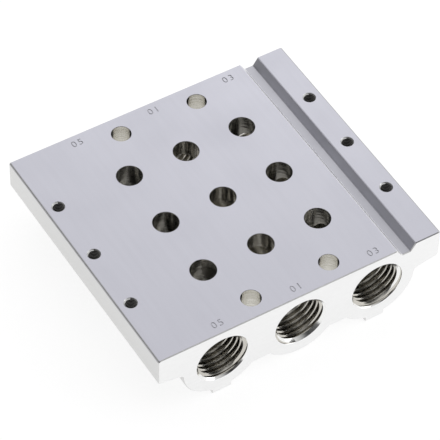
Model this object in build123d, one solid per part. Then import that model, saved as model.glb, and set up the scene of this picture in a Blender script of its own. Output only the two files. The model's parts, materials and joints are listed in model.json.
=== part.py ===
from build123d import *
import os
from math import radians, sqrt, tan

# Three-station valve manifold: one bar of extruded aluminium, cut to length, drilled and tapped.
# X runs across the galleries, Y along them and Z up. The origin is the middle of the footprint,
# level with the feet. All lengths are in millimetres and all angles in degrees.

# Bar and stations, along Y
body_length = 66.2
station_count = 3
station_pitch = 16.0

# Section of the extrusion, across X
body_width = 72.4
gallery_count = 3
gallery_pitch = 20.0
gallery_drop = 9.0              # top face down to the axes of the galleries
lobe_radius = 10.0              # rounded underside around each gallery
web_thickness = 15.4            # metal between two lobes, where the mounting holes pass
flange_edge_thickness = 7.8     # the flange thickens from here to the gallery axes' level
foot_width = 5.0
foot_height = 1.0               # how far the feet stand below the outer lobes

# Groove in the top face, beside the right-hand land
land_width = 6.6
groove_mouth_width = 4.8
groove_floor_width = 2.2
groove_depth = 2.0

# Corners left by the extrusion die and by the saw
edge_radius = 0.5               # long edges of the top face
flange_corner_radius = 0.8
root_radius = 0.8               # flange into lobe
valley_radius = 1.0             # web into lobe
foot_radius = 0.4
groove_lip_radius = 0.4
groove_root_radius = 0.2
end_break = 0.2                 # chamfer around both sawn ends

# Supply and exhaust galleries, with a G1/4 pipe thread in each end
gallery_diameter = 9.8
pipe_core_diameter = 11.445     # crest of the internal thread
pipe_rim_diameter = 13.2        # mouth of the countersink, just over the thread's 13.157 root
pipe_port_depth = 13.0

# Valve ports in the top face, three to a station
valve_port_diameter = 6.0
valve_port_spacing = 14.8
valve_port_overrun = 0.6        # drilled this far past the level of the gallery axes

# M3 holes that hold each valve down
screw_core_diameter = 2.5
screw_rim_diameter = 3.1
screw_hole_depth = 6.5
screw_inset = 3.15              # side edge to hole

# Through holes that hold the manifold down
mounting_hole_diameter = 4.6
mounting_inset = 5.1            # end face to hole

hole_break = 0.06               # edge break on the plain holes
drill_point_angle = 118.0

# Levels and places that follow from the sizes above
axis_z = foot_height + lobe_radius
top_z = axis_z + gallery_drop
valley_z = top_z - web_thickness
half_width = body_width / 2
half_length = body_length / 2
gallery_x = [(i - (gallery_count - 1) / 2) * gallery_pitch for i in range(gallery_count)]
valley_x = [(a + b) / 2 for a, b in zip(gallery_x, gallery_x[1:])]
foot_x = [gallery_x[0], gallery_x[-1]]
station_y = [(i - (station_count - 1) / 2) * station_pitch for i in range(station_count)]


def lobe_height(offset):
    """Level of a lobe's underside at a distance across from its gallery's axis."""
    return axis_z - sqrt(lobe_radius**2 - offset**2)


def lobe_offset(level):
    """Distance across from a gallery's axis at which its lobe's underside is at a level."""
    return sqrt(lobe_radius**2 - (axis_z - level) ** 2)


def rounded(section, corners, radius):
    """The section with the corners nearest to the given places rounded."""
    picked = [section.vertices().sort_by_distance((x, z))[0] for x, z in corners]
    return fillet(picked, radius)


def extrusion_section():
    """Outline of the bar, drawn with X across and Y as height."""
    flange_root_x = gallery_x[-1] + lobe_radius
    flange_edge_z = top_z - flange_edge_thickness
    plate = make_face(
        Polyline(
            (-half_width, top_z),
            (-half_width, flange_edge_z),
            (-flange_root_x, axis_z),
            (flange_root_x, axis_z),
            (half_width, flange_edge_z),
            (half_width, top_z),
            close=True,
        )
    )
    half_disc = make_face(
        CenterArc((0, 0), lobe_radius, 180, 180) + Line((-lobe_radius, 0), (lobe_radius, 0))
    )
    section = plate
    for x in gallery_x:
        section += Pos(x, axis_z) * half_disc
    for x in valley_x:
        section += Pos(x, valley_z) * Rectangle(
            gallery_pitch, web_thickness, align=(Align.CENTER, Align.MIN)
        )
    for x in foot_x:
        section += Pos(x, 0) * Rectangle(foot_width, axis_z, align=(Align.CENTER, Align.MIN))

    groove_right = half_width - land_width
    groove_left = groove_right - groove_mouth_width
    groove_slope = (groove_mouth_width - groove_floor_width) / 2
    groove_floor_z = top_z - groove_depth
    groove = [
        (groove_left, top_z),
        (groove_left + groove_slope, groove_floor_z),
        (groove_right - groove_slope, groove_floor_z),
        (groove_right, top_z),
    ]
    section -= make_face(Polyline(*groove, close=True))

    sides = (-1, 1)
    valley_corner = lobe_offset(valley_z)
    foot_half = foot_width / 2
    section = rounded(section, [(s * half_width, top_z) for s in sides], edge_radius)
    section = rounded(section, [(s * half_width, flange_edge_z) for s in sides], flange_corner_radius)
    section = rounded(section, [(s * flange_root_x, axis_z) for s in sides], root_radius)
    section = rounded(
        section,
        [(x + s * (gallery_pitch / 2 - valley_corner), valley_z) for x in valley_x for s in sides],
        valley_radius,
    )
    section = rounded(
        section,
        [(x + s * foot_half, z) for x in foot_x for s in sides for z in (0, lobe_height(foot_half))],
        foot_radius,
    )
    section = rounded(section, [groove[0], groove[-1]], groove_lip_radius)
    return rounded(section, groove[1:-1], groove_root_radius)


def bar():
    """The bar cut to length, with both sawn ends lightly chamfered."""
    body = extrude(Plane.XZ * extrusion_section(), half_length, both=True)
    ends = body.faces().sort_by(Axis.Y)
    outlines = ends[0].outer_wire().edges() + ends[-1].outer_wire().edges()
    return chamfer(outlines, end_break)


def drilled(diameter, depth, rim_diameter):
    """Metal taken out by a drill that enters along -Z, with a 45 degree countersink."""
    radius = diameter / 2
    rim = rim_diameter / 2
    point = radius / tan(radians(drill_point_angle / 2))
    outline = Polyline(
        (0, 0), (rim, 0), (radius, radius - rim), (radius, -depth), (0, -depth - point), close=True
    )
    return revolve(Plane.XZ * make_face(outline), Axis.Z)


def galleries():
    """Through passages along Y, each opened out for a pipe thread at both ends."""
    passage = Rot(X=90) * Cylinder(gallery_diameter / 2, body_length)
    tapping = drilled(pipe_core_diameter, pipe_port_depth, pipe_rim_diameter)
    cuts = []
    for x in gallery_x:
        cuts.append(Pos(x, 0, axis_z) * passage)
        cuts.append(Pos(x, -half_length, axis_z) * Rot(X=90) * tapping)
        cuts.append(Pos(x, half_length, axis_z) * Rot(X=-90) * tapping)
    return cuts


def valve_ports():
    """Ports drilled down from the top face into the galleries."""
    rim = valve_port_diameter + 2 * hole_break
    port = drilled(valve_port_diameter, gallery_drop + valve_port_overrun, rim)
    middle = (gallery_count - 1) / 2
    across = [(i - middle) * valve_port_spacing for i in range(gallery_count)]
    return [Pos(x, y, top_z) * port for x in across for y in station_y]


def valve_screw_holes():
    """Blind tapped holes, one in each flange for every station."""
    hole = drilled(screw_core_diameter, screw_hole_depth, screw_rim_diameter)
    across = half_width - screw_inset
    return [Pos(x, y, top_z) * hole for x in (-across, across) for y in station_y]


def mounting_holes():
    """Through holes in the webs, near both ends, with their edges broken above and below."""
    rim = mounting_hole_diameter + 2 * hole_break
    upper = drilled(mounting_hole_diameter, web_thickness, rim)
    lower = Rot(X=180) * upper
    along = half_length - mounting_inset
    cuts = []
    for x in valley_x:
        for y in (-along, along):
            cuts.append(Pos(x, y, top_z) * upper)
            cuts.append(Pos(x, y, valley_z) * lower)
    return cuts


def manifold_body():
    """The finished manifold, in one piece."""
    body = bar()
    for cut in galleries() + valve_ports() + valve_screw_holes() + mounting_holes():
        body -= cut
    return body


os.makedirs("parts", exist_ok=True)
manifold = manifold_body()
export_step(manifold, "parts/manifold_body.step")
print("manifold body", round(manifold.volume), "mm3, valid", manifold.is_valid)
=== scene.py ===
import json
from math import atan2, ceil, cos, degrees, dist, hypot, pi, radians, sin, sqrt, tan

import bmesh
import bpy
from mathutils import Matrix, Vector


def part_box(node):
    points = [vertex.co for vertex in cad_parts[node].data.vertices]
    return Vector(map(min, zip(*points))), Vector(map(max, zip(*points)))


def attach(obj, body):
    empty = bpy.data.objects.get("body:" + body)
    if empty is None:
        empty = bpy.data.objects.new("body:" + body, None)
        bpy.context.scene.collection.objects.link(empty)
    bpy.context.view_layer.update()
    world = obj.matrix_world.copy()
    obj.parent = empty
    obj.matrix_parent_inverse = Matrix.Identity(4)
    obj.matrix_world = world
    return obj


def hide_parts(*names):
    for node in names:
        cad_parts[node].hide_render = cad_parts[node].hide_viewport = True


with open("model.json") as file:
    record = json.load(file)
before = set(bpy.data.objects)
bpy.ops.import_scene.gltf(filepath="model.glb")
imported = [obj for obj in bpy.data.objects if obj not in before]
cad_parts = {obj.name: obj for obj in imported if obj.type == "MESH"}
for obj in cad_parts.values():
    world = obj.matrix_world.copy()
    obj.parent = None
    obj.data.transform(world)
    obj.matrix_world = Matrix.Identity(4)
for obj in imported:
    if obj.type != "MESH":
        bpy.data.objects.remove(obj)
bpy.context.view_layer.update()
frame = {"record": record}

# A pneumatic manifold for three valves: the bar with its threads, engraved numbers and finishes.
# X runs across the galleries, Y along them and Z up. Sizes are in millimetres and angles in
# degrees, unless a comment says otherwise.
NODE = "manifold_body"
MM = 0.001

# Places and radii of the holes, from the record's mounts
MOUNTS = {m["name"]: m for m in frame["record"]["mounts"]}
PIPE_PORTS = [m for name, m in MOUNTS.items() if name.startswith("pipe_port")]
VALVE_PORTS = [m for name, m in MOUNTS.items() if name.startswith("valve_port")]
SCREW_ROWS = [m for name, m in MOUNTS.items() if name.startswith("valve_screws")]
FIXING = MOUNTS["mounting_holes"]

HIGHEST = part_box(NODE)[1]
HALF_WIDTH = HIGHEST.x / MM
HALF_LENGTH = HIGHEST.y / MM
TOP = HIGHEST.z / MM
AXIS_Z = PIPE_PORTS[0]["pos_m"][2] / MM
GALLERY_X = sorted({round(m["pos_m"][0] / MM, 3) for m in PIPE_PORTS})
GALLERY_PITCH = GALLERY_X[1] - GALLERY_X[0]

# Section of the bar, as in the solid
LOBE_RADIUS = 10.0
WEB_THICKNESS = 15.4
FLANGE_EDGE_THICKNESS = 7.8
FOOT_HALF = 2.5
LAND_WIDTH = 6.6
GROOVE_MOUTH = 4.8
GROOVE_FLOOR = 2.2
GROOVE_DEPTH = 2.0
EDGE_RADIUS = 0.5
FLANGE_CORNER_RADIUS = 0.8
ROOT_RADIUS = 0.8
VALLEY_RADIUS = 1.0
FOOT_RADIUS = 0.4
GROOVE_LIP_RADIUS = 0.4
GROOVE_ROOT_RADIUS = 0.2
END_BREAK = 0.2

MIDDLE_AXIS = (0.0, AXIS_Z)
OUTER_AXIS = (GALLERY_PITCH, AXIS_Z)
VALLEY_Z = TOP - WEB_THICKNESS
FLANGE_EDGE_Z = TOP - FLANGE_EDGE_THICKNESS
GROOVE_RIGHT = HALF_WIDTH - LAND_WIDTH
GROOVE_LEFT = GROOVE_RIGHT - GROOVE_MOUTH

# Holes, as in the solid
GALLERY_RADIUS = 4.9
PIPE_CORE_RADIUS = PIPE_PORTS[0]["dims"]["r_mm"]
PIPE_RIM_RADIUS = 6.6
PIPE_PORT_DEPTH = 13.0
VALVE_PORT_RADIUS = VALVE_PORTS[0]["dims"]["r_mm"]
VALVE_PORT_OVERRUN = 0.6
VALVE_PORT_DEPTH = TOP - AXIS_Z + VALVE_PORT_OVERRUN
SCREW_CORE_RADIUS = SCREW_ROWS[0]["dims"]["hole_r_mm"]
SCREW_RIM_RADIUS = 1.55
SCREW_DEPTH = 6.5
FIXING_RADIUS = FIXING["dims"]["hole_r_mm"]
HOLE_BREAK = 0.06
DRILL_HALF_ANGLE = 59.0

# Middles of the upright holes, seen from above
PORT_CENTRES = [(m["pos_m"][0] / MM, m["pos_m"][1] / MM) for m in VALVE_PORTS]
FIXING_CENTRES = [
    (sx * FIXING["dims"]["spacing_x_mm"] / 2, sy * FIXING["dims"]["spacing_y_mm"] / 2)
    for sx in (-1, 1)
    for sy in (-1, 1)
]
SCREW_CENTRES = [
    (side * row["dims"]["spacing_x_mm"] / 2, row["pos_m"][1] / MM)
    for row in SCREW_ROWS
    for side in (-1, 1)
]

# Threads that the solid leaves to this script: G1/4 in the pipe ports and M3 in the screw holes
PIPE_THREAD_RADIUS = 6.5785
PIPE_THREAD_PITCH = 1.337
PIPE_THREAD_LENGTH = 12.0
PIPE_THREAD_TURNS = (-250.0, -115.0, -345.0)    # where the threads of each gallery start
SCREW_THREAD_RADIUS = 1.5
SCREW_THREAD_PITCH = 0.5
SCREW_THREAD_LENGTH = 5.5

# One pitch of a thread: place along the pitch, and depth as a share of the full depth
PIPE_THREAD_FORM = [
    (0.0, 1.0), (0.10, 0.95), (0.40, 0.08), (0.46, 0.0), (0.54, 0.0), (0.60, 0.08), (0.90, 0.95)
]
SCREW_THREAD_FORM = [(0.0, 1.0), (0.12, 1.0), (0.44, 0.0), (0.68, 0.0)]

# Numbers engraved at both ends of each gallery
MARK_NUMBERS = ("05", "01", "03")
MARK_HEIGHT = 1.8
FONT_SIZE_PER_HEIGHT = 1.4
MARK_SPREAD = 1.3
MARK_DEPTH = 0.12
MARK_INSET = 2.6

# Fineness of round parts
LARGE_ARC_RADIUS = 2.0
LARGE_ARC_STEP = 3.0        # angle between the points of an outline's large arcs
SMALL_ARC_STEP = 15.0
TURNED_SIDES = 96           # sides around a drill or a passage
PIPE_THREAD_SIDES = 72
SCREW_THREAD_SIDES = 28

# Cutting and merging
OVERCUT = 0.6               # how far a drill stands out of the face it enters
HIDDEN_SHARE = 0.05         # how far a thread's cutter dips inside its bore, as a share of the pitch
SAME_POINT = 1e-4           # how close two points or corners are when they become one
SAME_CUTTER_CORNER = 1e-5
SAME_BODY_CORNER = 2e-4

# Distances that tell the surfaces apart
NEAR = 0.01
WALL_SLACK = 0.2
GROOVE_SLACK = 0.1
RIM_SLACK = 0.02
BORE_SLACK = 0.3
CREST_DEPTH = 0.08
SCREW_MOUTH_DEPTH = 0.3
DRILL_POINT_REACH = 3.0

# Limits on a face's unit normal that tell the surfaces apart
FLAT = 0.99
FACING = 0.5
PORT_FLOOR_RISE = 0.7
FLANK_RISE = 0.58
LEVEL_LEAN = 0.05
RIM_LEAN = (0.6, 0.8)

# Camera, from the photograph's perspective
CAMERA_TARGET = Vector((-4.135, -5.52, 20.0))
CAMERA_DISTANCE = 621.5
CAMERA_AZIMUTH = -32.56
CAMERA_ELEVATION = 48.952
CAMERA_ROLL = 1.617
CAMERA_LENS = 229.82
SENSOR_WIDTH = 36.0
CAMERA_NEAR = 0.01          # in metres

# Finish
SHARP_ANGLE = 30.0
CLOUD_SCALE = (70, 70, 70)  # like the grains below, per metre along X, Y and Z
CLOUD_DETAIL = 3.0
CLOUD_SHARE = 0.6
LINE_DETAIL = 2.0
LINE_SHARE = 0.4
NOISE_RANGE = (0.3, 0.7)
ROUGHNESS_SPREAD = 0.06
BRUSHED = (900, 60, 900)
DRAWN = (1500, 60, 1500)
SAWN = (350, 900, 2600)
EVEN = (900, 900, 900)
TAPPED = (300, 300, 300)

# Paper floor
FLOOR_RADIUS = 2.5          # in metres
FLOOR_SIDES = 96
FLOOR_LIFT = 0.84
FLOOR_SHADE = 0.28
TOOTH_SCALE = (900, 900, 900)
TOOTH_STRENGTH = 0.1
TOOTH_DEPTH = 2e-5          # in metres

# Light of the room by height along a leaning axis, and the darker patch on one side
SKY_LEAN = (0.5, 0.3, 1.0)
SKY_LOW = -0.5
SKY_HIGH = 1.0
SKY_LEVELS = ((-0.5, 0.70), (-0.12, 0.70), (0.10, 0.03), (0.28, 0.03), (0.54, 0.80), (1.0, 0.82))
DARK_SIDE = (-0.60, -0.78, 0.17)
DARK_FROM = 0.74
DARK_TO = 0.97
DARK_LEVEL = 0.12


# Outline of the bar

def arc(centre, radius, start, end):
    """Points on an arc between two angles in degrees, both ends included."""
    step = LARGE_ARC_STEP if radius > LARGE_ARC_RADIUS else SMALL_ARC_STEP
    count = max(2, ceil(abs(end - start) / step))
    angles = [radians(start + (end - start) * i / count) for i in range(count + 1)]
    return [(centre[0] + radius * cos(a), centre[1] + radius * sin(a)) for a in angles]


def corner(before, at, after, radius):
    """Points that round the corner at one place between two straight runs."""
    u = Vector(before) - Vector(at)
    v = Vector(after) - Vector(at)
    u.normalize()
    v.normalize()
    half = u.angle(v) / 2
    middle = (u + v).normalized()
    centre = Vector(at) + middle * (radius / sin(half))
    start = Vector(at) + u * (radius / tan(half)) - centre
    end = Vector(at) + v * (radius / tan(half)) - centre
    first = degrees(atan2(start.y, start.x))
    sweep = degrees(atan2(end.y, end.x)) - first
    sweep = (sweep + 180) % 360 - 180
    return arc(centre, radius, first, first + sweep)


def valley_fillet():
    """Where the fillet of web and lobe has its middle: across, level, and angle about the lobe."""
    level = VALLEY_Z - VALLEY_RADIUS
    reach = LOBE_RADIUS + VALLEY_RADIUS
    across = sqrt(reach**2 - (AXIS_Z - level) ** 2)
    return across, level, degrees(atan2(level - AXIS_Z, across))


def foot_fillet():
    """Where the fillet of foot and lobe has its middle: across, level, and angle below the axis."""
    reach = LOBE_RADIUS + FOOT_RADIUS
    across = FOOT_HALF + FOOT_RADIUS
    level = AXIS_Z - sqrt(reach**2 - across**2)
    return across, level, degrees(atan2(AXIS_Z - level, across))


def web_side():
    """Outline from the middle of the underside over the web and down to the foot."""
    across, level, turn = valley_fillet()
    lean = foot_fillet()[2]
    points = arc(MIDDLE_AXIS, LOBE_RADIUS, -90, turn)
    points += arc((across, level), VALLEY_RADIUS, turn + 180, 90)
    points += arc((GALLERY_PITCH - across, level), VALLEY_RADIUS, 90, -turn)
    return points + arc(OUTER_AXIS, LOBE_RADIUS, 180 - turn, 180 + lean)


def foot_side():
    """Outline of the foot under the outer lobe."""
    across, level, lean = foot_fillet()
    inner = FOOT_HALF - FOOT_RADIUS
    points = arc((GALLERY_PITCH - across, level), FOOT_RADIUS, lean, 0)
    points += arc((GALLERY_PITCH - inner, FOOT_RADIUS), FOOT_RADIUS, 180, 270)
    points += arc((GALLERY_PITCH + inner, FOOT_RADIUS), FOOT_RADIUS, 270, 360)
    return points + arc((GALLERY_PITCH + across, level), FOOT_RADIUS, 180, 180 - lean)


def flange_side():
    """Outline from the foot up the outer lobe and along the flange to its outer corner."""
    root = Vector((GALLERY_PITCH + LOBE_RADIUS, AXIS_Z))
    edge = Vector((HALF_WIDTH, FLANGE_EDGE_Z))
    along = (edge - root).normalized()
    down = Vector((along.y, -along.x))

    # Middle of the root's fillet, seen from the lobe's axis
    start = root + down * ROOT_RADIUS - Vector(OUTER_AXIS)
    reach = LOBE_RADIUS + ROOT_RADIUS
    b = start.dot(along)
    centre = start + along * (-b + sqrt(b * b - start.dot(start) + reach**2))
    turn = degrees(atan2(centre.y, centre.x))
    up = degrees(atan2(-down.y, -down.x))

    points = arc(OUTER_AXIS, LOBE_RADIUS, -foot_fillet()[2], turn)
    points += arc(centre + Vector(OUTER_AXIS), ROOT_RADIUS, turn + 180, up)
    return points + corner(root, edge, (HALF_WIDTH, TOP), FLANGE_CORNER_RADIUS)


def top_side():
    """Outline of the top from the right-hand edge over the groove to the left-hand edge."""
    slope = (GROOVE_MOUTH - GROOVE_FLOOR) / 2
    floor_z = TOP - GROOVE_DEPTH
    path = [
        (HALF_WIDTH, FLANGE_EDGE_Z),
        (HALF_WIDTH, TOP),
        (GROOVE_RIGHT, TOP),
        (GROOVE_RIGHT - slope, floor_z),
        (GROOVE_LEFT + slope, floor_z),
        (GROOVE_LEFT, TOP),
        (-HALF_WIDTH, TOP),
        (-HALF_WIDTH, FLANGE_EDGE_Z),
    ]
    radii = [EDGE_RADIUS, GROOVE_LIP_RADIUS, GROOVE_ROOT_RADIUS]
    radii += radii[::-1]
    points = []
    for i, radius in enumerate(radii):
        points += corner(path[i], path[i + 1], path[i + 2], radius)
    return points


def section():
    """Closed outline of the bar, anticlockwise with X to the right and Z up."""
    right = web_side() + foot_side() + flange_side()
    left = [(-x, z) for x, z in reversed(right)]
    points = left + right[1:] + top_side()
    return [p for i, p in enumerate(points) if dist(p, points[i - 1]) > SAME_POINT]


def inset(points, distance):
    """The closed outline moved inwards by a distance."""
    moved = []
    for i, p in enumerate(points):
        a = Vector(points[i - 1])
        c = Vector(points[(i + 1) % len(points)])
        b = Vector(p)
        first = (b - a).normalized()
        second = (c - b).normalized()
        n1 = Vector((-first.y, first.x))
        n2 = Vector((-second.y, second.x))
        moved.append(b + (n1 + n2) * (distance / (1 + n1.dot(n2))))
    return moved


# Closed meshes, in millimetres

def turn_outwards(mesh):
    """Merges a closed mesh's double corners and turns its faces outwards."""
    bm = bmesh.new()
    bm.from_mesh(mesh)
    bmesh.ops.remove_doubles(bm, verts=bm.verts, dist=SAME_CUTTER_CORNER)
    bmesh.ops.recalc_face_normals(bm, faces=bm.faces)
    bm.to_mesh(mesh)
    bm.free()


def new_object(name, verts, faces):
    """A closed mesh object from its corners and faces."""
    mesh = bpy.data.meshes.new(name)
    mesh.from_pydata([tuple(v) for v in verts], [], faces)
    turn_outwards(mesh)
    piece = bpy.data.objects.new(name, mesh)
    bpy.context.scene.collection.objects.link(piece)
    return piece


def bar():
    """The bar with both sawn ends lightly chamfered."""
    full = section()
    small = inset(full, END_BREAK)
    levels = [
        (-HALF_LENGTH, small),
        (-HALF_LENGTH + END_BREAK, full),
        (HALF_LENGTH - END_BREAK, full),
        (HALF_LENGTH, small),
    ]
    verts = [(x, y, z) for y, ring in levels for x, z in ring]
    n = len(full)
    faces = [list(range(n))]
    for level in range(len(levels) - 1):
        a = level * n
        for i in range(n):
            j = (i + 1) % n
            faces.append([a + j, a + i, a + n + i, a + n + j])
    last = (len(levels) - 1) * n
    faces.append([last + i for i in reversed(range(n))])
    return new_object("bar", verts, faces)


def turned(name, profile, sides):
    """A closed solid of revolution about Z. The profile runs from the axis down to the axis."""
    verts = [(0, 0, profile[0][1])]
    for radius, z in profile[1:-1]:
        for i in range(sides):
            a = 2 * pi * i / sides
            verts.append((radius * cos(a), radius * sin(a), z))
    verts.append((0, 0, profile[-1][1]))
    faces = []
    rings = len(profile) - 2
    for i in range(sides):
        j = (i + 1) % sides
        faces.append([0, 1 + i, 1 + j])
        for k in range(rings - 1):
            a, b = 1 + k * sides, 1 + (k + 1) * sides
            faces.append([a + i, b + i, b + j, a + j])
        last = 1 + (rings - 1) * sides
        faces.append([last + i, len(verts) - 1, last + j])
    return new_object(name, verts, faces)


def drill(radius, depth, rim, sides=TURNED_SIDES):
    """What a drill with a countersink takes out, entering at the origin along -Z."""
    point = radius / tan(radians(DRILL_HALF_ANGLE))
    profile = [
        (0, OVERCUT),
        (rim + OVERCUT, OVERCUT),
        (radius, radius - rim),
        (radius, -depth),
        (0, -depth - point),
    ]
    return turned("bore", profile, sides)


def screw_faces(steps, sides, corners):
    """Faces around a screw with so many corners to its form, and the loops around its two ends."""
    tail = steps * corners

    def vert(s, k):
        """A corner of a step's form, or after the last one the start of the form a turn later."""
        if k < corners:
            return s * corners + k
        return (s + sides) * corners if s + sides < steps else tail + s + sides - steps

    faces = [
        [vert(s, k), vert(s, k + 1), vert(s + 1, k + 1), vert(s + 1, k)]
        for s in range(steps - 1)
        for k in range(corners)
    ]
    mouth = [s * corners for s in range(sides + 1)] + list(range(corners - 1, 0, -1))
    end = [vert(steps - 1, k) for k in range(corners)] + [tail + i for i in reversed(range(sides))]
    return faces, mouth, end


def fan(verts, faces, loop, z):
    """Closes one end of a screw with triangles around a point on its axis."""
    middle = len(verts)
    verts.append((0, 0, z))
    for i, v in enumerate(loop):
        faces.append([middle, v, loop[(i + 1) % len(loop)]])


def screw(inner, outer, pitch, length, form, sides):
    """A screw that cuts an internal thread, entering at the origin along -Z.

    Its ridge dies away over the last turn, as a tap leaves it.
    """
    turns = ceil((length + pitch) / pitch)
    steps = turns * sides
    hidden = HIDDEN_SHARE * pitch

    def spot(step, share, depth):
        """A corner of the form at one step, which may lie past the last step."""
        z = pitch - (step / sides + share) * pitch
        fade = min(1.0, max(0.0, (length + z) / pitch))
        radius = inner - hidden + (outer - inner + hidden) * depth * fade
        a = -2 * pi * step / sides
        return (radius * cos(a), radius * sin(a), z)

    verts = [spot(s, share, depth) for s in range(steps) for share, depth in form]
    verts += [spot(steps + s, *form[0]) for s in range(sides + 1)]
    faces, mouth, end = screw_faces(steps, sides, len(form))
    fan(verts, faces, mouth, pitch / 2)
    fan(verts, faces, end, pitch - (turns + 0.5) * pitch)
    return new_object("thread", verts, faces)


def pipe_thread(turn):
    """The cutter of a pipe thread that starts at an angle in degrees."""
    cutter = screw(
        PIPE_CORE_RADIUS,
        PIPE_THREAD_RADIUS,
        PIPE_THREAD_PITCH,
        PIPE_THREAD_LENGTH,
        PIPE_THREAD_FORM,
        PIPE_THREAD_SIDES,
    )
    cutter.data.transform(Matrix.Rotation(radians(turn), 4, "Z"))
    return cutter


def screw_thread():
    """The cutter of a small screw hole's thread."""
    return screw(
        SCREW_CORE_RADIUS,
        SCREW_THREAD_RADIUS,
        SCREW_THREAD_PITCH,
        SCREW_THREAD_LENGTH,
        SCREW_THREAD_FORM,
        SCREW_THREAD_SIDES,
    )


# Cutting the body

def cut(body, piece):
    """Takes a closed cutter out of the body and discards it."""
    step = body.modifiers.new("cut", "BOOLEAN")
    step.operation = "DIFFERENCE"
    step.solver = "MANIFOLD"
    step.object = piece
    depsgraph = bpy.context.evaluated_depsgraph_get()
    done = bpy.data.meshes.new_from_object(body.evaluated_get(depsgraph))
    body.modifiers.clear()
    body.data = done
    bpy.data.objects.remove(piece)


def cut_at(body, piece, at, out):
    """Takes a cutter out of the body with its mouth at a place, facing along a direction."""
    turn = Vector(out).to_track_quat("Z", "Y").to_matrix().to_4x4()
    piece.data.transform(Matrix.Translation(at) @ turn)
    cut(body, piece)


def cut_galleries(body):
    """Passages, tapping bores and pipe threads."""
    passage = [
        (0, HALF_LENGTH),
        (GALLERY_RADIUS, HALF_LENGTH),
        (GALLERY_RADIUS, -HALF_LENGTH),
        (0, -HALF_LENGTH),
    ]
    for x in GALLERY_X:
        cut_at(body, turned("passage", passage, TURNED_SIDES), (x, 0, AXIS_Z), (0, 1, 0))
    for port in PIPE_PORTS:
        x = port["pos_m"][0] / MM
        out = port["axis"]
        mouth = (x, out[1] * HALF_LENGTH, AXIS_Z)
        turn = PIPE_THREAD_TURNS[GALLERY_X.index(round(x, 3))]
        cut_at(body, drill(PIPE_CORE_RADIUS, PIPE_PORT_DEPTH, PIPE_RIM_RADIUS), mouth, out)
        cut_at(body, pipe_thread(turn), mouth, out)


def cut_top_holes(body):
    """Valve ports, tapped screw holes and through holes in the top face."""
    up, down = (0, 0, 1), (0, 0, -1)
    for x, y in PORT_CENTRES:
        bore = drill(VALVE_PORT_RADIUS, VALVE_PORT_DEPTH, VALVE_PORT_RADIUS + HOLE_BREAK)
        cut_at(body, bore, (x, y, TOP), up)
    for x, y in SCREW_CENTRES:
        bore = drill(SCREW_CORE_RADIUS, SCREW_DEPTH, SCREW_RIM_RADIUS, SCREW_THREAD_SIDES)
        cut_at(body, bore, (x, y, TOP), up)
        cut_at(body, screw_thread(), (x, y, TOP), up)
    for x, y in FIXING_CENTRES:
        for z, out in ((TOP, up), (VALLEY_Z, down)):
            bore = drill(FIXING_RADIUS, WEB_THICKNESS, FIXING_RADIUS + HOLE_BREAK)
            cut_at(body, bore, (x, y, z), out)


def mark(number):
    """A number as a closed solid, half of it below the origin."""
    curve = bpy.data.curves.new("mark", "FONT")
    curve.body = number
    curve.size = MARK_HEIGHT * FONT_SIZE_PER_HEIGHT
    curve.space_character = MARK_SPREAD
    curve.align_x = "CENTER"
    curve.align_y = "CENTER"
    curve.extrude = MARK_DEPTH
    text = bpy.data.objects.new("mark", curve)
    bpy.context.scene.collection.objects.link(text)
    mesh = bpy.data.meshes.new_from_object(text)
    bpy.data.objects.remove(text)
    piece = bpy.data.objects.new("mark", mesh)
    bpy.context.scene.collection.objects.link(piece)
    return piece


def cut_marks(body):
    """Numbers engraved in the top face at both ends of each gallery."""
    for x, number in zip(GALLERY_X, MARK_NUMBERS):
        for end in (-1, 1):
            piece = mark(number)
            place = (x, end * (HALF_LENGTH - MARK_INSET), TOP)
            piece.data.transform(Matrix.Translation(place))
            turn_outwards(piece.data)
            cut(body, piece)


def merge_corners(body):
    """Merges corners that the cuts left almost on top of each other, and drops empty faces."""
    bm = bmesh.new()
    bm.from_mesh(body.data)
    bmesh.ops.remove_doubles(bm, verts=bm.verts, dist=SAME_BODY_CORNER)
    bmesh.ops.dissolve_degenerate(bm, edges=bm.edges, dist=SAME_BODY_CORNER)
    bm.to_mesh(body.data)
    bm.free()


# Surfaces of the body, by what made them, and some by the painted light or shade they carry

(
    TOP_FACE, TOP_EDGE, SAWN_END, SKIN,
    GROOVE, GROOVE_LIP, LIP_HIGHLIGHT, GROOVE_FLANK,
    VALVE_PORT, PORT_FLOOR, FIXING_HOLE, HOLE_EDGE,
    GALLERY, PIPE_THREAD, PIPE_CREST, PIPE_RIM,
    SCREW_THREAD, SCREW_RIM, CHAMFER_SHADE, MARK,
) = range(20)


def off_axis(point, centre):
    """How a point lies from an upright hole's axis, seen from above."""
    return Vector(point[:2]) - Vector(centre)


def on_wall(point, normal, centre, radius):
    """Whether a face lies on the wall or the broken edge of an upright hole."""
    out = off_axis(point, centre)
    if abs(out.length - radius) > WALL_SLACK:
        return False
    return out.normalized().dot(Vector(normal[:2])) < -FACING


def upright_surface(point, normal):
    """The surface of an upright hole that a face belongs to, if any."""
    # The broken edges of the upright holes get a dark ring: painted shade.
    broken = point.z > TOP - HOLE_BREAK or point.z < VALLEY_Z + HOLE_BREAK
    for centre in PORT_CENTRES:
        if on_wall(point, normal, centre, VALVE_PORT_RADIUS):
            return HOLE_EDGE if broken else VALVE_PORT
        inside = off_axis(point, centre).length < VALVE_PORT_RADIUS
        if inside and normal.z > PORT_FLOOR_RISE and AXIS_Z - DRILL_POINT_REACH < point.z < AXIS_Z:
            return PORT_FLOOR
    for centre in FIXING_CENTRES:
        if on_wall(point, normal, centre, FIXING_RADIUS):
            return HOLE_EDGE if broken else FIXING_HOLE
    for centre in SCREW_CENTRES:
        # The small holes' threads get a near-black colour: painted shade.
        if off_axis(point, centre).length < SCREW_RIM_RADIUS + NEAR:
            return SCREW_RIM if point.z > TOP - SCREW_MOUTH_DEPTH else SCREW_THREAD
    return None


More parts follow.
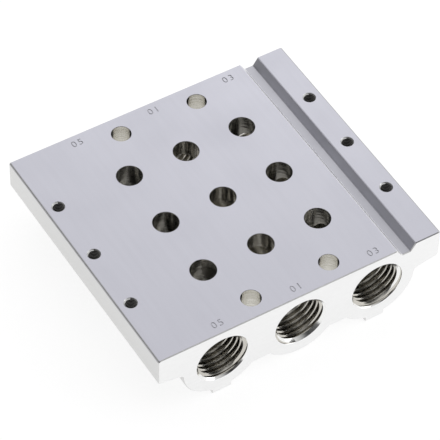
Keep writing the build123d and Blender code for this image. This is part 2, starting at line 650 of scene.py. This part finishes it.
def groove_surface(point, normal):
    """The surface of the groove that a face belongs to, if any. The floor and right wall get painted
    shade, the left wall painted light and the left lip a painted highlight.
    """
    if not GROOVE_LEFT - GROOVE_LIP_RADIUS < point.x < GROOVE_RIGHT + GROOVE_LIP_RADIUS:
        return None
    if point.z <= TOP - GROOVE_DEPTH - GROOVE_SLACK or abs(point.y) >= HALF_LENGTH - END_BREAK:
        return None
    # The left lip gets a painted highlight and the left wall painted light.
    if normal.x > LEVEL_LEAN:
        return LIP_HIGHLIGHT if normal.z > FLANK_RISE else GROOVE_LIP
    # The floor gets painted shade.
    if normal.x > -LEVEL_LEAN:
        return GROOVE
    # The right lip stays with the top; the right wall gets painted shade.
    rounded = normal.z > FLANK_RISE and point.z > TOP - GROOVE_LIP_RADIUS
    return TOP_FACE if rounded else GROOVE_FLANK


def gallery_surface(point, normal):
    """The surface of a gallery or its pipe thread that a face belongs to, if any."""
    for x in GALLERY_X:
        off = hypot(point.x - x, point.z - AXIS_Z)
        if off < PIPE_RIM_RADIUS + RIM_SLACK:
            depth = HALF_LENGTH - abs(point.y)
            leaning = RIM_LEAN[0] < abs(normal.y) < RIM_LEAN[1]
            if leaning and depth < PIPE_RIM_RADIUS - PIPE_CORE_RADIUS:
                return PIPE_RIM
            if off < PIPE_CORE_RADIUS - BORE_SLACK:
                return GALLERY
            return PIPE_CREST if off < PIPE_CORE_RADIUS + CREST_DEPTH else PIPE_THREAD
    return None


def surface_of(point, normal):
    """Which surface a face belongs to, from its middle and its normal."""
    if normal.z > FLAT and point.z > TOP - NEAR:
        return TOP_FACE
    # The floor of the numbers is darker: partly its rough cut and partly painted shade.
    if normal.z > FLAT and point.z > TOP - MARK_DEPTH - NEAR:
        return MARK
    # The sawn ends' pale colour is partly their finish and partly painted light.
    if abs(point.y) > HALF_LENGTH - NEAR and abs(normal.y) > FLAT:
        return SAWN_END
    surface = upright_surface(point, normal)
    if surface is not None:
        return surface
    # The rounded top edges get a darker colour: painted shade for their dark reflection.
    if abs(point.x) > HALF_WIDTH - EDGE_RADIUS and point.z > TOP - EDGE_RADIUS:
        return TOP_EDGE
    # The front chamfer of the right-hand land gets painted shade.
    if point.x > GROOVE_RIGHT and point.z > TOP - END_BREAK and normal.y < -FACING:
        return CHAMFER_SHADE
    surface = groove_surface(point, normal)
    if surface is None:
        surface = gallery_surface(point, normal)
    return SKIN if surface is None else surface


def sort_surfaces(body, finishes):
    """Gives each face its material."""
    body.data.materials.clear()
    for material in finishes:
        body.data.materials.append(material)
    for face in body.data.polygons:
        face.material_index = surface_of(face.center, face.normal)


def smooth(body):
    """Smooth shading that keeps flat faces flat and edges crisp."""
    body.data.shade_smooth()
    body.data.set_sharp_from_angle(angle=radians(SHARP_ANGLE))
    step = body.modifiers.new("normals", "WEIGHTED_NORMAL")
    step.keep_sharp = True


# Materials

class Nodes:
    """Short calls for a node tree."""

    def __init__(self, tree):
        self.tree = tree
        tree.nodes.clear()

    def add(self, kind, **values):
        """A node with settings by attribute name, and sockets by name after in_."""
        node = self.tree.nodes.new(kind)
        for key, value in values.items():
            if key.startswith("in_"):
                node.inputs[key[3:].replace("_", " ")].default_value = value
            else:
                setattr(node, key, value)
        return node

    def link(self, out, into):
        """A link from an output to an input."""
        self.tree.links.new(out, into)


def stretched_noise(nodes, coords, scale, detail):
    """Noise whose grain may be finer along one axis than another."""
    mapping = nodes.add("ShaderNodeMapping", in_Scale=scale)
    noise = nodes.add("ShaderNodeTexNoise", in_Scale=1.0, in_Detail=detail)
    nodes.link(coords, mapping.inputs["Vector"])
    nodes.link(mapping.outputs["Vector"], noise.inputs["Vector"])
    return noise.outputs["Fac"]


def remap(nodes, value, old, new, interpolation="LINEAR"):
    """A value carried from one range to another and held inside it."""
    node = nodes.add("ShaderNodeMapRange", clamp=True, interpolation_type=interpolation)
    node.inputs["From Min"].default_value = old[0]
    node.inputs["From Max"].default_value = old[1]
    node.inputs["To Min"].default_value = new[0]
    node.inputs["To Max"].default_value = new[1]
    nodes.link(value, node.inputs["Value"])
    return node.outputs["Result"]


def total(nodes, first, second, clamp=False):
    """The sum of two values."""
    node = nodes.add("ShaderNodeMath", operation="ADD", use_clamp=clamp)
    nodes.link(first, node.inputs[0])
    nodes.link(second, node.inputs[1])
    return node.outputs[0]


def metal(name, colour, roughness, grain, grain_depth, variation):
    """Bare aluminium with cloudy colour and roughness and a directional grain.

    The grain's depth is in metres. The variation is the share by which the colour changes.
    """
    material = bpy.data.materials.new(name)
    material.use_nodes = True
    nodes = Nodes(material.node_tree)
    coords = nodes.add("ShaderNodeTexCoord").outputs["Object"]
    cloud = stretched_noise(nodes, coords, CLOUD_SCALE, CLOUD_DETAIL)
    lines = stretched_noise(nodes, coords, grain, LINE_DETAIL)

    tint = nodes.add("ShaderNodeMix", data_type="RGBA")
    tint.inputs["A"].default_value = (*[c * (1 - variation) for c in colour], 1)
    tint.inputs["B"].default_value = (*[min(1, c * (1 + variation)) for c in colour], 1)
    clouds = remap(nodes, cloud, NOISE_RANGE, (0, CLOUD_SHARE))
    streaks = remap(nodes, lines, NOISE_RANGE, (0, LINE_SHARE))
    nodes.link(total(nodes, clouds, streaks), tint.inputs["Factor"])

    rough = (roughness - ROUGHNESS_SPREAD, roughness + ROUGHNESS_SPREAD)
    bump = nodes.add("ShaderNodeBump", in_Strength=1.0, in_Distance=grain_depth)
    nodes.link(lines, bump.inputs["Height"])

    shader = nodes.add("ShaderNodeBsdfPrincipled", in_Metallic=1.0)
    nodes.link(tint.outputs["Result"], shader.inputs["Base Color"])
    nodes.link(remap(nodes, cloud, NOISE_RANGE, rough), shader.inputs["Roughness"])
    nodes.link(bump.outputs["Normal"], shader.inputs["Normal"])
    output = nodes.add("ShaderNodeOutputMaterial")
    nodes.link(shader.outputs[0], output.inputs["Surface"])
    return material


def materials():
    """The finishes, some of them with painted light or shade, in the order of the surfaces."""
    return [
        metal("brushed_top", (0.594, 0.594, 0.657), 0.38, BRUSHED, 4e-6, 0.03),
        # Darker than the top: painted shade along the rounded top edges.
        metal("top_edge", (0.50, 0.50, 0.51), 0.36, DRAWN, 4e-6, 0.03),
        # Pale: partly the sawn finish, partly painted light that makes the ends lighter than the
        # top.
        metal("sawn_end", (0.89, 0.89, 0.89), 0.34, SAWN, 6e-6, 0.03),
        metal("extruded_skin", (0.70, 0.70, 0.695), 0.36, DRAWN, 6e-6, 0.04),
        # Darker than the top: painted shade in the groove's floor.
        metal("groove_skin", (0.485, 0.485, 0.528), 0.36, DRAWN, 4e-6, 0.03),
        # Near white: painted light on the groove's left wall.
        metal("groove_lip", (0.95, 0.95, 1.0), 0.50, DRAWN, 4e-6, 0.03),
        # Near white and rough: a painted highlight on the groove's rounded left lip.
        metal("worn_lip", (0.96, 0.96, 1.0), 0.70, DRAWN, 4e-6, 0.01),
        # Dark: painted shade on the groove's right wall.
        metal("groove_flank", (0.31, 0.31, 0.34), 0.36, DRAWN, 4e-6, 0.03),
        metal("port_bore", (0.88, 0.87, 0.84), 0.22, (60, 60, 1300), 1e-4, 0.08),
        metal("port_floor", (0.42, 0.41, 0.39), 0.40, EVEN, 1e-5, 0.10),
        metal("drilled_hole", (0.81, 0.80, 0.77), 0.15, (60, 60, 1600), 5e-5, 0.03),
        # Dark: a painted shaded ring around the holes' broken edges.
        metal("hole_edge", (0.20, 0.20, 0.20), 0.40, EVEN, 4e-6, 0.10),
        metal("gallery_bore", (0.60, 0.58, 0.53), 0.22, (60, 4200, 60), 1e-5, 0.10),
        metal("tapped_pipe", (0.575, 0.555, 0.51), 0.15, TAPPED, 4e-6, 0.08),
        metal("pipe_crest", (0.92, 0.91, 0.88), 0.20, TAPPED, 2e-6, 0.03),
        metal("pipe_rim", (0.88, 0.88, 0.87), 0.18, (200, 200, 200), 2e-6, 0.02),
        # Almost black: painted shade inside the small tapped holes.
        metal("tapped_screw", (0.09, 0.088, 0.086), 0.25, EVEN, 4e-6, 0.12),
        metal("screw_rim", (0.62, 0.62, 0.62), 0.35, EVEN, 4e-6, 0.10),
        # Dark: painted shade on the front chamfer of the right-hand land.
        metal("scuffed_edge", (0.30, 0.30, 0.31), 0.40, EVEN, 4e-6, 0.10),
        # Darker than the top: partly the rough cut floor, partly painted shade in the strokes.
        metal("engraved", (0.46, 0.46, 0.50), 0.50, (2500, 2500, 2500), 1e-5, 0.30),
    ]


# Studio

def paper(nodes):
    """Pale matt paper with a fine tooth."""
    coords = nodes.add("ShaderNodeTexCoord").outputs["Object"]
    tooth = stretched_noise(nodes, coords, TOOTH_SCALE, LINE_DETAIL)
    bump = nodes.add("ShaderNodeBump", in_Strength=TOOTH_STRENGTH, in_Distance=TOOTH_DEPTH)
    nodes.link(tooth, bump.inputs["Height"])
    shader = nodes.add("ShaderNodeBsdfDiffuse", in_Color=(FLOOR_SHADE, FLOOR_SHADE, FLOOR_SHADE, 1))
    nodes.link(bump.outputs["Normal"], shader.inputs["Normal"])
    return shader.outputs[0]


def lift(nodes):
    """A glow that the camera and mirror-like surfaces see, and that lights nothing else."""
    path = nodes.add("ShaderNodeLightPath")
    seen = total(nodes, path.outputs["Is Camera Ray"], path.outputs["Is Glossy Ray"])
    seen = total(nodes, seen, path.outputs["Is Transmission Ray"], clamp=True)
    strength = nodes.add("ShaderNodeMath", operation="MULTIPLY")
    strength.inputs[1].default_value = FLOOR_LIFT
    nodes.link(seen, strength.inputs[0])
    glow = nodes.add("ShaderNodeEmission", in_Color=(1, 1, 1, 1))
    nodes.link(strength.outputs[0], glow.inputs["Strength"])
    return glow.outputs[0]


def floor_material():
    """White paper that shows as white, and still takes the shadow of what stands on it."""
    material = bpy.data.materials.new("white_paper")
    material.use_nodes = True
    nodes = Nodes(material.node_tree)
    both = nodes.add("ShaderNodeAddShader")
    nodes.link(paper(nodes), both.inputs[0])
    nodes.link(lift(nodes), both.inputs[1])
    output = nodes.add("ShaderNodeOutputMaterial")
    nodes.link(both.outputs[0], output.inputs["Surface"])
    return material


def floor():
    """A round sheet of white paper under the feet."""
    mesh = bpy.data.meshes.new("floor")
    bm = bmesh.new()
    bmesh.ops.create_circle(bm, cap_ends=True, segments=FLOOR_SIDES, radius=FLOOR_RADIUS)
    bm.to_mesh(mesh)
    bm.free()
    sheet = bpy.data.objects.new("floor", mesh)
    bpy.context.scene.collection.objects.link(sheet)
    sheet.data.materials.append(floor_material())


def share_along(nodes, direction, axis):
    """How far a direction points along an axis."""
    node = nodes.add("ShaderNodeVectorMath", operation="DOT_PRODUCT")
    node.inputs[1].default_value = axis
    nodes.link(direction, node.inputs[0])
    return node.outputs["Value"]


def sky_colour(nodes, direction):
    """Pale light above and below with a dark band between, in plain greys."""
    height = share_along(nodes, direction, SKY_LEAN)
    ramp = nodes.add("ShaderNodeValToRGB")
    stops = ramp.color_ramp.elements
    for i, (lean, level) in enumerate(SKY_LEVELS):
        share = (lean - SKY_LOW) / (SKY_HIGH - SKY_LOW)
        stop = stops[i] if i < 2 else stops.new(share)
        stop.position = share
        stop.color = (level, level, level, 1)
    nodes.link(remap(nodes, height, (SKY_LOW, SKY_HIGH), (0, 1)), ramp.inputs["Fac"])
    return ramp.outputs["Color"]


def sky():
    """A pale room with a dark band around it and a dark patch.

    The band is low toward +X and high toward -X. The patch lies toward -X and -Y.
    """
    world = bpy.data.worlds.new("room")
    bpy.context.scene.world = world
    world.use_nodes = True
    nodes = Nodes(world.node_tree)
    direction = nodes.add("ShaderNodeTexCoord").outputs["Generated"]
    toward = share_along(nodes, direction, DARK_SIDE)
    strength = remap(nodes, toward, (DARK_FROM, DARK_TO), (1, DARK_LEVEL), "SMOOTHSTEP")
    light = nodes.add("ShaderNodeBackground")
    nodes.link(sky_colour(nodes, direction), light.inputs["Color"])
    nodes.link(strength, light.inputs["Strength"])
    output = nodes.add("ShaderNodeOutputWorld")
    nodes.link(light.outputs[0], output.inputs["Surface"])


def lamp(name, at, size, power):
    """A soft square lamp that faces the object. Place and size are in metres, power in watts."""
    data = bpy.data.lights.new(name, "AREA")
    data.shape = "SQUARE"
    data.size = size
    data.energy = power
    source = bpy.data.objects.new(name, data)
    source.location = at
    source.rotation_euler = (-Vector(at)).to_track_quat("-Z", "Y").to_euler()
    source.visible_camera = False
    bpy.context.scene.collection.objects.link(source)


def camera():
    """The camera at the photograph's angle."""
    data = bpy.data.cameras.new("camera")
    data.lens = CAMERA_LENS
    data.sensor_width = SENSOR_WIDTH
    data.clip_start = CAMERA_NEAR
    view = bpy.data.objects.new("camera", data)
    turn = Matrix.Rotation(radians(CAMERA_AZIMUTH), 4, "Z")
    turn @= Matrix.Rotation(radians(90 - CAMERA_ELEVATION), 4, "X")
    turn @= Matrix.Rotation(radians(CAMERA_ROLL), 4, "Z")
    target = Matrix.Translation(CAMERA_TARGET * MM)
    back = Matrix.Translation((0, 0, CAMERA_DISTANCE * MM))
    view.matrix_world = target @ turn @ back
    bpy.context.scene.collection.objects.link(view)
    bpy.context.scene.camera = view


body = bar()
cut_galleries(body)
cut_top_holes(body)
cut_marks(body)
merge_corners(body)
sort_surfaces(body, materials())
smooth(body)
body.data.transform(Matrix.Scale(MM, 4))
body.name = "manifold"
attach(body, "root")
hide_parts(NODE)

floor()
sky()
lamp("far_side", at=(0.28, 0.41, 0.36), size=0.30, power=0.14)
lamp("front_right", at=(0.50, -0.29, 0.16), size=0.34, power=0.60)
camera()
bpy.context.scene.view_settings.view_transform = "Standard"
